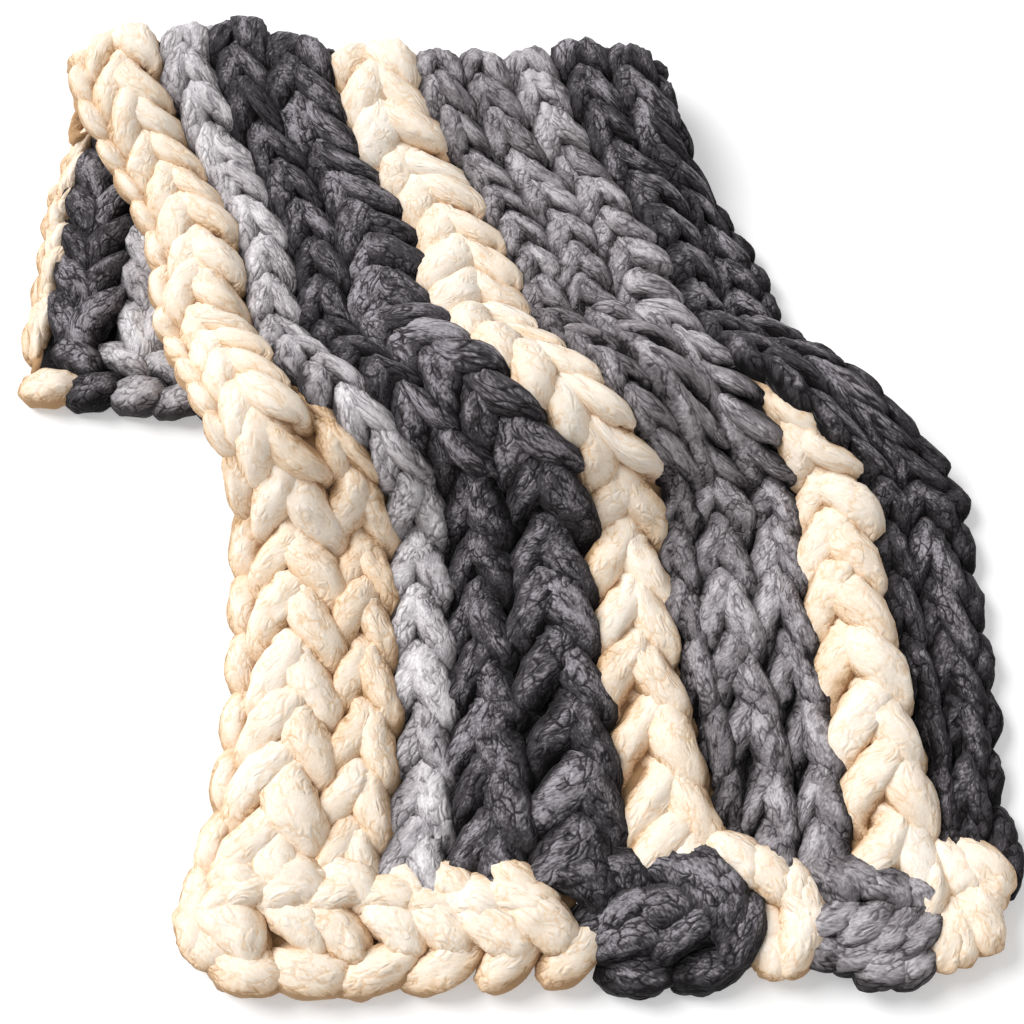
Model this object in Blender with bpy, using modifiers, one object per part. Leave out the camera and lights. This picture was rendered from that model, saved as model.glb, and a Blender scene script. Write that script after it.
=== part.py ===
"""A chunky knit blanket, laid out on the floor with its far end folded under.

Run with: blender --background --python part.py
Metres, +Z up. +Y runs along the wales, from the near hem to the fold. The floor is z = 0.
The cloth is one solid: a grid bent to the blanket's lie, then thickened to the depth of the knit.
"""

import bpy
import numpy as np

# ---- Driving dimensions, in metres ----------------------------------------------------------
WIDTH = 1.00  # across the twelve wales
CLOTH = 0.052  # depth of the knitted cloth
LAYER_GAP = 0.003  # between the folded layers
FOLD_Y = 1.345  # where the fold starts to turn under, measured from the near hem
FLAP = 0.545  # how much of the far end lies underneath
HEM_FLARE = 0.015  # extra width of the near hem, as a share
FLARE_LENGTH = 0.70  # how far the flare and the wavering of the hem reach
FAR_NARROWING = 0.11  # the far end draws in by this share of the width
NARROWING_START, NARROWING_LENGTH = 0.66, 0.36
HEM_WAVER = 0.012  # the near hem wavers by this much
FOLD_SKEW, SKEW_START, SKEW_LENGTH = 0.05, 0.90, 0.45  # the far end is laid askew

# The line of the fold is uneven: the charcoal stripes stand out beyond it, the left corner is
# rounded off. Centre and reach as shares of the width, and how far it is pushed out.
FOLD_HUMPS = (
    {"place": "left corner", "centre": 0.00, "reach": 0.10, "push": -0.034},
    {"place": "left charcoal", "centre": 0.26, "reach": 0.17, "push": 0.030},
    {"place": "right charcoal", "centre": 0.88, "reach": 0.17, "push": 0.024},
)
HUMP_START, HUMP_RISE_LENGTH = 1.05, 0.30  # along the cloth
HUMP_END, HUMP_FALL_LENGTH = 1.60, 0.25

# The upper layer rises over the end of the flap in one wave, then lies on it to the fold.
WAVE_Y, WAVE_REACH, WAVE_LIFT, WAVE_SLANT = 0.765, 0.17, 0.068, 0.07
STEP_START, STEP_LENGTH = 0.54, 0.20
SWELL_START, SWELL_LENGTH, SWELL_LIFT = 1.155, 0.14, 0.030
SIDE_CLEARANCE, SIDE_LENGTH = 0.02, 0.11  # past the flap's right edge it sinks to the floor again

# How the wales wander, to the left where the shift is negative: start, length of the change, shift.
DRIFTS = (
    {"part": "body above the hem", "start": 0.00, "length": 0.40, "shift": 0.028},
    {"part": "body at the wave", "start": 0.64, "length": 0.38, "shift": -0.213},
    {"part": "body at the fold", "start": 0.98, "length": 0.46, "shift": -0.15},
    {"part": "flap", "start": 1.42, "length": 0.36, "shift": -0.06},
)

# Long soft flutes along the wales: centre and reach as shares of the width, and lift.
FLUTES = (
    {"stripe": "left cream", "centre": 0.09, "reach": 0.13, "lift": 0.018},
    {"stripe": "left charcoal", "centre": 0.42, "reach": 0.13, "lift": 0.034},
    {"stripe": "right cream", "centre": 0.83, "reach": 0.10, "lift": 0.024},
)
FLUTE_AT_HEM = 0.35  # share of a flute's lift at the near hem
FLUTE_RISE_LENGTH = 0.20
FLUTE_FALL_START, FLUTE_FALL_LENGTH = 0.98, 0.22

# The hand-laid outline is never quite straight.
SWAY_X, SWAY_X_LENGTH = 0.009, 0.85
SWAY_Y, SWAY_Y_LENGTH = 0.010, 1.15

# The middle of the finished outline, taken off so that the blanket is centred in plan.
CENTRE_X, CENTRE_Y = -0.1539, 0.7116

# ---- Mesh fineness --------------------------------------------------------------------------
CELLS_ACROSS = 28
CELLS_ALONG = 76
PROFILE_SAMPLES = 600
FOLD_SAMPLES = 120
TURN_WEIGHT = 0.14  # metres of cloth that one radian of turning counts as, in spacing the rows
EDGE_ROUND = 0.016
EDGE_SEGMENTS = 2

WOOL = {"colour": (0.56, 0.50, 0.45, 1.0), "roughness": 0.95}


def smooth(t):
    """Rises from 0 to 1 as t goes from 0 to 1, level at both ends."""
    t = np.clip(t, 0.0, 1.0)
    return t * t * (3.0 - 2.0 * t)


def hump(t):
    """A soft hump: 1 at t = 0, and 0 from t = -1 and from t = 1."""
    return np.cos(np.clip(t, -1.0, 1.0) * np.pi / 2.0) ** 2


def drift(along):
    """Sideways shift of the wales at a distance along the cloth."""
    return sum(d["shift"] * smooth((along - d["start"]) / d["length"]) for d in DRIFTS)


def width(along):
    """The width of the cloth as it lies, at a distance along it."""
    near_hem = 1.0 - smooth(along / FLARE_LENGTH)
    far_end = smooth((along - NARROWING_START) / NARROWING_LENGTH)
    return WIDTH * (1.0 + HEM_FLARE * near_hem - FAR_NARROWING * far_end)


def flap_right_edge(y, fold_along):
    """Where the flap's right edge lies under the upper layer at y."""
    along = fold_along + np.maximum(FOLD_Y - y, 0.0)
    return width(along) / 2.0 + drift(along)


def lift(x, y, fold_along):
    """How far the upper layer is lifted off the floor at a place in plan."""
    wave_y = WAVE_Y + WAVE_SLANT * x / WIDTH
    wave = WAVE_LIFT * hump((y - wave_y) / WAVE_REACH)
    climb = smooth((y - STEP_START) / STEP_LENGTH)
    past = (x - flap_right_edge(y, fold_along) - SIDE_CLEARANCE) / SIDE_LENGTH
    step = (CLOTH + LAYER_GAP) * climb * (1.0 - smooth(past))
    swell = SWELL_LIFT * smooth((y - SWELL_START) / SWELL_LENGTH)
    return wave + step + swell


def profile():
    """The middle of the cloth in side view: distance along, y, and height of the lift off the floor.

    The upper layer runs to the fold, a half circle turns it under, and the flap runs back.
    """
    y = np.linspace(0.0, FOLD_Y, PROFILE_SAMPLES)
    z = lift(0.0, y, FOLD_Y * 2.0)
    radius = z[-1] / 2.0
    turn = np.linspace(0.0, np.pi, FOLD_SAMPLES)[1:]
    y = np.concatenate([y, FOLD_Y + radius * np.sin(turn), [FOLD_Y - FLAP]])
    z = np.concatenate([z, radius * (1.0 + np.cos(turn)), [0.0]])
    along = np.concatenate([[0.0], np.cumsum(np.hypot(np.diff(y), np.diff(z)))])
    return along, y, z


ALONG, PROFILE_Y, PROFILE_Z = profile()
FOLD_ALONG = ALONG[PROFILE_SAMPLES - 1]
FLAP_ALONG = ALONG[-2]
LENGTH = ALONG[-1]


def flutes(across, along):
    """The lift of the long soft flutes: weaker at the near hem, and gone at the fold."""
    rise = FLUTE_AT_HEM + (1.0 - FLUTE_AT_HEM) * smooth(along / FLUTE_RISE_LENGTH)
    fall = 1.0 - smooth((along - FLUTE_FALL_START) / FLUTE_FALL_LENGTH)
    height = sum(f["lift"] * hump((across - f["centre"]) / f["reach"]) for f in FLUTES)
    return height * rise * fall


def fold_humps(across, along):
    """How far the fold is pushed out, at its strongest where it turns."""
    rise = smooth((along - HUMP_START) / HUMP_RISE_LENGTH)
    fall = 1.0 - smooth((along - HUMP_END) / HUMP_FALL_LENGTH)
    push = sum(f["push"] * hump((across - f["centre"]) / f["reach"]) for f in FOLD_HUMPS)
    return push * rise * fall


def middle(across, along):
    """The middle surface of the cloth. across runs 0 to 1 from the left edge, along in metres."""
    y = np.interp(along, ALONG, PROFILE_Y)
    x = (across - 0.5) * width(along) + drift(along)
    body = lift(x, y, FLAP_ALONG) + flutes(across, along)
    z = np.where(along < FOLD_ALONG, body, np.interp(along, ALONG, PROFILE_Z))
    near_hem = 1.0 - smooth(along / FLARE_LENGTH)
    y = y + HEM_WAVER * near_hem * np.sin(2.0 * np.pi * across + 0.6)
    y = y - FOLD_SKEW * across * smooth((along - SKEW_START) / SKEW_LENGTH)
    y = y + fold_humps(across, along)
    x_laid = x + SWAY_X * np.sin(2.0 * np.pi * y / SWAY_X_LENGTH) - CENTRE_X
    y_laid = y + SWAY_Y * np.sin(2.0 * np.pi * x / SWAY_Y_LENGTH) - CENTRE_Y
    return np.stack([x_laid, y_laid, z + CLOTH / 2.0], axis=-1)


def normals(across, along):
    """The unit normal of the middle surface, on the side that shows the wales."""
    step = 1e-4
    tangent_u = middle(across + step, along) - middle(across - step, along)
    ahead = np.minimum(along + step, LENGTH)
    behind = np.maximum(along - step, 0.0)
    tangent_v = middle(across, ahead) - middle(across, behind)
    normal = np.cross(tangent_u, tangent_v)
    return normal / np.linalg.norm(normal, axis=-1, keepdims=True)


def row_stations():
    """Distances along the cloth for the grid's rows, closer together where the profile turns."""
    heading = np.unwrap(np.arctan2(np.diff(PROFILE_Z), np.diff(PROFILE_Y)))
    turned = np.concatenate([[0.0], np.cumsum(np.abs(np.diff(heading))), [0.0]])
    turned[-1] = turned[-2]
    measure = ALONG + TURN_WEIGHT * turned
    return np.interp(np.linspace(0.0, measure[-1], CELLS_ALONG + 1), measure, ALONG)


def clear_scene():
    for obj in list(bpy.data.objects):
        bpy.data.objects.remove(obj)


def wool_material():
    material = bpy.data.materials.new("wool")
    material.use_nodes = True
    shader = material.node_tree.nodes["Principled BSDF"]
    shader.inputs["Base Color"].default_value = WOOL["colour"]
    shader.inputs["Roughness"].default_value = WOOL["roughness"]
    shader.inputs["Metallic"].default_value = 0.0
    return material


def make_blanket():
    """A flat grid bent to the lie of the cloth's under side, thickened and rounded at its rim."""
    bpy.ops.mesh.primitive_grid_add(
        x_subdivisions=CELLS_ACROSS, y_subdivisions=CELLS_ALONG, size=1.0
    )
    blanket = bpy.context.object
    blanket.name = "blanket"
    mesh = blanket.data
    flat = np.empty(len(mesh.vertices) * 3)
    mesh.vertices.foreach_get("co", flat)
    flat = flat.reshape(-1, 3) + 0.5
    stations = row_stations()
    across = flat[:, 0]
    along = np.interp(flat[:, 1], np.linspace(0.0, 1.0, CELLS_ALONG + 1), stations)
    under_side = middle(across, along) - normals(across, along) * CLOTH / 2.0
    mesh.vertices.foreach_set("co", under_side.ravel())
    mesh.update()

    thicken = blanket.modifiers.new("Depth of the knit", "SOLIDIFY")
    thicken.thickness = CLOTH
    thicken.offset = 1.0
    rounding = blanket.modifiers.new("Rounded rim", "BEVEL")
    rounding.width = EDGE_ROUND
    rounding.segments = EDGE_SEGMENTS
    rounding.limit_method = "ANGLE"
    rounding.angle_limit = np.radians(60.0)
    mesh.materials.append(wool_material())
    mesh.shade_smooth()
    return blanket


def main():
    clear_scene()
    collection = bpy.data.collections.new("chunky_knit_blanket")
    bpy.context.scene.collection.children.link(collection)
    blanket = make_blanket()
    for owner in list(blanket.users_collection):
        owner.objects.unlink(blanket)
    collection.objects.link(blanket)


main()
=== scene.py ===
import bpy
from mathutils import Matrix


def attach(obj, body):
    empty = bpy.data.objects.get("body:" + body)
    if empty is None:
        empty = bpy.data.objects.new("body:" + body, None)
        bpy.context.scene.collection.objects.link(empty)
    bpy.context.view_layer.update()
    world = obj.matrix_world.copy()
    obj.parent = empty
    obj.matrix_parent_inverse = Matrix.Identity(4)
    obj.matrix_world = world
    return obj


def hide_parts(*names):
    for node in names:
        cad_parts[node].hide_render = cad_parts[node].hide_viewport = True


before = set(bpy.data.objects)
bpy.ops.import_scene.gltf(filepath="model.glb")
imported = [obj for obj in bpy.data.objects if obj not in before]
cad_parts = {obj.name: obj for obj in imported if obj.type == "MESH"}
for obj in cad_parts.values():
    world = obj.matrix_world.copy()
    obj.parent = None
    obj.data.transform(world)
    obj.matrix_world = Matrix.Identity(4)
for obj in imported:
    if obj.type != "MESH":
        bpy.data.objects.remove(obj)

"""The looks of a chunky knit blanket: twelve wales of thick velvety yarn in lengthwise stripes.

Every stitch is a real loop of yarn. A row of a stripe is one tube of yarn that runs across the
stripe's wales, and the rows are laid on the blanket's lie: a flat body in soft flutes, a wave
where it climbs on to its own folded end, a round fold, and the end lying underneath.
Positions on the cloth are (across, along, depth) in metres: across from the left edge, along
from the near hem, depth from the middle of the cloth towards the side that shows the wales.
"""

import bpy
import numpy as np
from mathutils import Vector

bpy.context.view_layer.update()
TAU = 2.0 * np.pi

# ---- The lie of the cloth: the same sizes as the solid, in metres ----------------------------
WIDTH = 1.00
CLOTH = 0.052
LAYER_GAP = 0.003
FOLD_Y = 1.345
FLAP = 0.545
HEM_FLARE = 0.015
FLARE_LENGTH = 0.70
FAR_NARROWING = 0.11
NARROWING_START, NARROWING_LENGTH = 0.66, 0.36
HEM_WAVER = 0.012
FOLD_SKEW, SKEW_START, SKEW_LENGTH = 0.05, 0.90, 0.45
WAVE_Y, WAVE_REACH, WAVE_LIFT, WAVE_SLANT = 0.765, 0.17, 0.068, 0.07
STEP_START, STEP_LENGTH = 0.54, 0.20
SWELL_START, SWELL_LENGTH, SWELL_LIFT = 1.155, 0.14, 0.030
SIDE_CLEARANCE, SIDE_LENGTH = 0.02, 0.11
DRIFTS = (
    {"part": "body above the hem", "start": 0.00, "length": 0.40, "shift": 0.028},
    {"part": "body at the wave", "start": 0.64, "length": 0.38, "shift": -0.213},
    {"part": "body at the fold", "start": 0.98, "length": 0.46, "shift": -0.15},
    {"part": "flap", "start": 1.42, "length": 0.36, "shift": -0.06},
)
FOLD_HUMPS = (
    {"place": "left corner", "centre": 0.00, "reach": 0.10, "push": -0.034},
    {"place": "left charcoal", "centre": 0.26, "reach": 0.17, "push": 0.030},
    {"place": "right charcoal", "centre": 0.88, "reach": 0.17, "push": 0.024},
)
HUMP_START, HUMP_RISE_LENGTH = 1.05, 0.30
HUMP_END, HUMP_FALL_LENGTH = 1.60, 0.25
FLUTES = (
    {"stripe": "left cream", "centre": 0.09, "reach": 0.13, "lift": 0.018},
    {"stripe": "left charcoal", "centre": 0.42, "reach": 0.13, "lift": 0.034},
    {"stripe": "right cream", "centre": 0.83, "reach": 0.10, "lift": 0.024},
)
FLUTE_AT_HEM = 0.35
FLUTE_RISE_LENGTH = 0.20
FLUTE_FALL_START, FLUTE_FALL_LENGTH = 0.98, 0.22
SWAY_X, SWAY_X_LENGTH = 0.009, 0.85
SWAY_Y, SWAY_Y_LENGTH = 0.010, 1.15
CENTRE_X, CENTRE_Y = -0.1539, 0.7116
PROFILE_SAMPLES, FOLD_SAMPLES = 600, 120

# ---- Small formulas ---------------------------------------------------------------------------
def smooth(t):
    """Rises from 0 to 1 as t goes from 0 to 1, level at both ends: t squared times (3 - 2t)."""
    t = np.clip(t, 0.0, 1.0)
    return t * t * (3.0 - 2.0 * t)


def hump(t):
    """A soft hump: the squared cosine of a quarter turn times t, 1 at t = 0 and 0 from t = 1."""
    return np.cos(np.clip(t, -1.0, 1.0) * np.pi / 2.0) ** 2


def ripple(points, wavelength, seed, waves=9):
    """Soft noise between about -1 and 1: the mean of sine waves in random directions in space."""
    rng = np.random.default_rng(seed)
    heading = rng.normal(size=(waves, 3))
    heading /= np.linalg.norm(heading, axis=1, keepdims=True)
    pace = TAU / (wavelength * rng.uniform(0.8, 1.3, size=(waves, 1)))
    phase = rng.uniform(0.0, TAU, size=waves)
    total = np.zeros(points.shape[:-1])
    for k in range(waves):
        total += np.sin(points @ (heading[k] * pace[k]) + phase[k])
    return total * np.sqrt(2.0 / waves) / 1.6


# ---- The drape --------------------------------------------------------------------------------
def drift(along):
    """Sideways shift of the wales: a smooth step for each entry of DRIFTS."""
    return sum(d["shift"] * smooth((along - d["start"]) / d["length"]) for d in DRIFTS)


def width(along):
    """Width of the cloth as it lies: flared at the near hem, drawn in at the far end."""
    near_hem = 1.0 - smooth(along / FLARE_LENGTH)
    far_end = smooth((along - NARROWING_START) / NARROWING_LENGTH)
    return WIDTH * (1.0 + HEM_FLARE * near_hem - FAR_NARROWING * far_end)


def flap_right_edge(y, fold_along):
    """Where the flap's right edge lies under the upper layer at y."""
    along = fold_along + np.maximum(FOLD_Y - y, 0.0)
    return width(along) / 2.0 + drift(along)


def lift(x, y, fold_along):
    """Height of the upper layer: a hump for the wave, a step on to the flap, and a swell."""
    wave_y = WAVE_Y + WAVE_SLANT * x / WIDTH
    wave = WAVE_LIFT * hump((y - wave_y) / WAVE_REACH)
    climb = smooth((y - STEP_START) / STEP_LENGTH)
    past = (x - flap_right_edge(y, fold_along) - SIDE_CLEARANCE) / SIDE_LENGTH
    step = (CLOTH + LAYER_GAP) * climb * (1.0 - smooth(past))
    swell = SWELL_LIFT * smooth((y - SWELL_START) / SWELL_LENGTH)
    return wave + step + swell


def profile():
    """The cloth in side view: the lifted upper layer, a half circle, and the straight flap."""
    y = np.linspace(0.0, FOLD_Y, PROFILE_SAMPLES)
    z = lift(0.0, y, FOLD_Y * 2.0)
    radius = z[-1] / 2.0
    turn = np.linspace(0.0, np.pi, FOLD_SAMPLES)[1:]
    y = np.concatenate([y, FOLD_Y + radius * np.sin(turn), [FOLD_Y - FLAP]])
    z = np.concatenate([z, radius * (1.0 + np.cos(turn)), [0.0]])
    along = np.concatenate([[0.0], np.cumsum(np.hypot(np.diff(y), np.diff(z)))])
    return along, y, z


ALONG, PROFILE_Y, PROFILE_Z = profile()
FOLD_ALONG = ALONG[PROFILE_SAMPLES - 1]
FLAP_ALONG = ALONG[-2]
LENGTH = ALONG[-1]


def flutes(across, along):
    """Lift of the long soft flutes: a hump across for each, weak at the hem, gone at the fold."""
    rise = FLUTE_AT_HEM + (1.0 - FLUTE_AT_HEM) * smooth(along / FLUTE_RISE_LENGTH)
    fall = 1.0 - smooth((along - FLUTE_FALL_START) / FLUTE_FALL_LENGTH)
    height = sum(f["lift"] * hump((across - f["centre"]) / f["reach"]) for f in FLUTES)
    return height * rise * fall


def fold_humps(across, along):
    """How far the fold is pushed out: a hump across for each of FOLD_HUMPS, where it turns."""
    rise = smooth((along - HUMP_START) / HUMP_RISE_LENGTH)
    fall = 1.0 - smooth((along - HUMP_END) / HUMP_FALL_LENGTH)
    push = sum(f["push"] * hump((across - f["centre"]) / f["reach"]) for f in FOLD_HUMPS)
    return push * rise * fall


def middle(across, along):
    """The middle surface of the cloth: across 0 to 1 from the left edge, along in metres."""
    y = np.interp(along, ALONG, PROFILE_Y)
    y = y + np.minimum(along, 0.0)
    x = (across - 0.5) * width(along) + drift(along)
    body = lift(x, y, FLAP_ALONG) + flutes(across, along)
    z = np.where(along < FOLD_ALONG, body, np.interp(along, ALONG, PROFILE_Z))
    y = y - np.maximum(along - LENGTH, 0.0)
    near_hem = 1.0 - smooth(along / FLARE_LENGTH)
    y = y + HEM_WAVER * near_hem * np.sin(TAU * across + 0.6)
    y = y - FOLD_SKEW * across * smooth((along - SKEW_START) / SKEW_LENGTH)
    y = y + fold_humps(across, along)
    x_laid = x + SWAY_X * np.sin(TAU * y / SWAY_X_LENGTH) - CENTRE_X
    y_laid = y + SWAY_Y * np.sin(TAU * x / SWAY_Y_LENGTH) - CENTRE_Y
    return np.stack([x_laid, y_laid, z + CLOTH / 2.0], axis=-1)


def lay(cloth):
    """Lays points (across in metres, along, depth) on the blanket: middle plus depth x normal.

    Below FLOOR_SOFTNESS the height h becomes FLOOR_SOFTNESS exp(h / FLOOR_SOFTNESS - 1), so yarn
    flattens on the floor and never goes through it.
    """
    across = cloth[..., 0] / WIDTH
    along = cloth[..., 1]
    step = 5e-4
    u_way = middle(across + step, along) - middle(across - step, along)
    v_way = middle(across, along + step) - middle(across, along - step)
    normal = np.cross(u_way, v_way)
    normal /= np.linalg.norm(normal, axis=-1, keepdims=True)
    laid = middle(across, along) + normal * cloth[..., 2:3]
    height = laid[..., 2]
    flattened = FLOOR_SOFTNESS * np.exp(np.minimum(height / FLOOR_SOFTNESS - 1.0, 0.0))
    laid[..., 2] = np.where(height < FLOOR_SOFTNESS, flattened, height)
    return laid


# ---- The knit ---------------------------------------------------------------------------------
ROWS, FLAP_ROW = 28, 22  # from this row on, the flap's left stripes show their other side
ROW_MARGIN = 0.092  # from an end of the cloth to its first row; the hem covers a part of that
ROW_STIR = 0.04  # a row is out of place by about this share of its pitch
FAR_PITCH, FAR_PITCH_START, FAR_PITCH_LENGTH = 0.80, 0.55, 0.30  # rows lie closer beyond the wave
PITCH_STEPS = 1200  # for adding up the pitches along the cloth
SELVEDGE = 0.022  # how far the turning loops stand out at each side

# The wales change width on the way: they fan at the hem, are squeezed beyond the wave, and change
# again past the fold. Each passage starts at a distance along the cloth and has a length.
PASSAGES = (
    {"start": 0.12, "length": 0.34},
    {"start": 0.66, "length": 0.25},
    {"start": 1.46, "length": 0.14},
)
EVEN = (0.0, 0.0, 0.0, 0.0)  # for a wale that is plain or level all the way
# The wales, left to right, each at the hem, in the lower and in the upper part and on the flap:
# share of the width; lightness from -1 to 1; how deep they are sunk between their neighbours, in
# metres; and how far right lobes sit below left ones, in rows.
WALES = (
    {"share": (1.45, 1.40, 1.36, 0.28), "stagger": 0.34, "tone": EVEN, "sunk": EVEN},
    {
        "share": (1.05, 0.97, 0.12, 1.45), "stagger": 0.14,
        "tone": (0.0, -0.1, -0.2, 0.0), "sunk": (0.0, 0.0, 0.045, 0.0),
    },
    {"share": (1.00, 0.98, 0.98, 1.60), "stagger": 0.20, "tone": (0.1, 0.1, 0.1, 0.0), "sunk": EVEN},
    {"share": (1.36, 1.18, 1.12, 1.00), "stagger": 0.16, "tone": (0.0, 0.0, 0.1, 0.0), "sunk": EVEN},
    {"share": (1.42, 1.28, 1.46, 1.10), "stagger": 0.26, "tone": EVEN, "sunk": EVEN},
    {"share": (1.60, 1.38, 1.80, 1.30), "stagger": 0.24, "tone": (0.1, 0.1, 0.1, 0.0), "sunk": EVEN},
    {"share": (0.30, 0.52, 0.92, 0.90), "stagger": 0.12, "tone": (-0.1, 0.0, 0.1, 0.0), "sunk": EVEN},
    {"share": (0.92, 1.02, 0.97, 0.90), "stagger": 0.26, "tone": (0.0, 0.1, 0.1, 0.0), "sunk": EVEN},
    {"share": (0.76, 0.90, 1.00, 0.90), "stagger": 0.10, "tone": (0.1, 0.2, 0.4, 0.0), "sunk": EVEN},
    {
        "share": (1.35, 1.24, 0.06, 0.90), "stagger": 0.28,
        "tone": (0.0, 0.0, -0.2, 0.0), "sunk": (0.0, 0.0, 0.050, 0.0),
    },
    {"share": (0.30, 0.60, 0.98, 1.00), "stagger": 0.12, "tone": EVEN, "sunk": EVEN},
    {"share": (0.46, 0.86, 0.92, 0.95), "stagger": 0.22, "tone": (-0.2, -0.1, 0.1, 0.0), "sunk": EVEN},
)
# The stripes: their yarn, first wale and one past the last, first row and one past the last,
# and the side their lobes face: 1 for the side that is up in the body, -1 for the other.
STRIPES = (
    {"name": "left_cream", "yarn": "cream", "wales": (0, 2), "rows": (0, FLAP_ROW), "face": 1},
    {"name": "left_light_grey", "yarn": "light_grey", "wales": (2, 3), "rows": (0, FLAP_ROW), "face": 1},
    {"name": "left_charcoal", "yarn": "charcoal", "wales": (3, 5), "rows": (0, ROWS), "face": 1},
    {"name": "middle_cream", "yarn": "cream", "wales": (5, 6), "rows": (0, ROWS), "face": 1},
    {"name": "mid_grey", "yarn": "mid_grey", "wales": (6, 9), "rows": (0, ROWS), "face": 1},
    {"name": "right_cream", "yarn": "cream", "wales": (9, 10), "rows": (0, ROWS), "face": 1},
    {"name": "right_charcoal", "yarn": "charcoal", "wales": (10, 12), "rows": (0, ROWS), "face": 1},
    {"name": "flap_cream", "yarn": "cream", "wales": (0, 1), "rows": (FLAP_ROW, ROWS), "face": -1},
    {"name": "flap_charcoal", "yarn": "charcoal", "wales": (1, 2), "rows": (FLAP_ROW, ROWS), "face": -1},
    {"name": "flap_light_grey", "yarn": "light_grey", "wales": (2, 3), "rows": (FLAP_ROW, ROWS), "face": -1},
)

# A stitch, as shares of the wale's width (across) and of the row (along).
LOBE_SWING = 0.30  # how far a leg swings from the middle of the wale to its groove
LOBE_REACH = 0.84  # from the middle of the stitch to its head and to its neck
LOBE_RADIUS = 0.322
EVEN_RADIUS = 0.48  # how far the yarn's radius follows the mean wale and not its own
LOBE_FLATNESS = 0.94
TIP_SHARE = 0.56  # radius behind, as a share of the lobe's
PLUMPEST, PLUMP_REACH = 0.60, 0.56  # where between head (0) and neck (1) a leg is thickest
CROSSING = 0.02  # how much nearer the middle of the wale each leg is drawn
LEAN_UNTIL, LEAN_FADE = 0.70, 0.30  # a leg leans from head to here, and less on its way to the neck
WEAVE_DEPTH, WEAVE_CENTRE = 0.0135, -0.0040
HEAD_DIVE = 0.0025  # heads lie this much deeper, and necks less deep
DEEPEST = -0.022  # how far back a sunk wale goes
OVERLAP = 0.0025  # right legs lie this much in front of left ones
# How much legs differ from one another, where 1 is an ordinary difference: in swing and radius,
# in place as shares of the wale and the row, in depth in metres, and in tone, which also differs
# from stitch to stitch.
STIR = {"swing": 0.08, "radius": 0.04, "across": 0.032, "along": 0.08, "depth": 0.0030}
LEG_TONE_STIR, STITCH_TONE_STIR = 0.22, 0.10
# A turn of the selvedge bulges by at most this many radii, comes forward by this share of the
# weave, has this share of the lobe's radius, and gets painted light: its tone is raised, as it
# lies in the light, not in a groove.
TURN_BULGE, TURN_RISE, TURN_GIRTH, TURN_PAINTED_LIGHT = 0.6, 0.9, 0.84, 0.5
TURN_SAMPLES = 17
SAMPLES_PER_STITCH = 44
SIDES = 22
LUMPS = 0.0040  # height of the soft swellings of the yarn
LUMP_SIZES, LUMP_SQUEEZE = (0.026, 0.013), 0.45  # their sizes, drawn out along the yarn
TUBE_APART, SEED_APART, APART_WAY = 0.731, 5.17, (0.3, 1.0, 0.7)  # how the grain moves on

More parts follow.
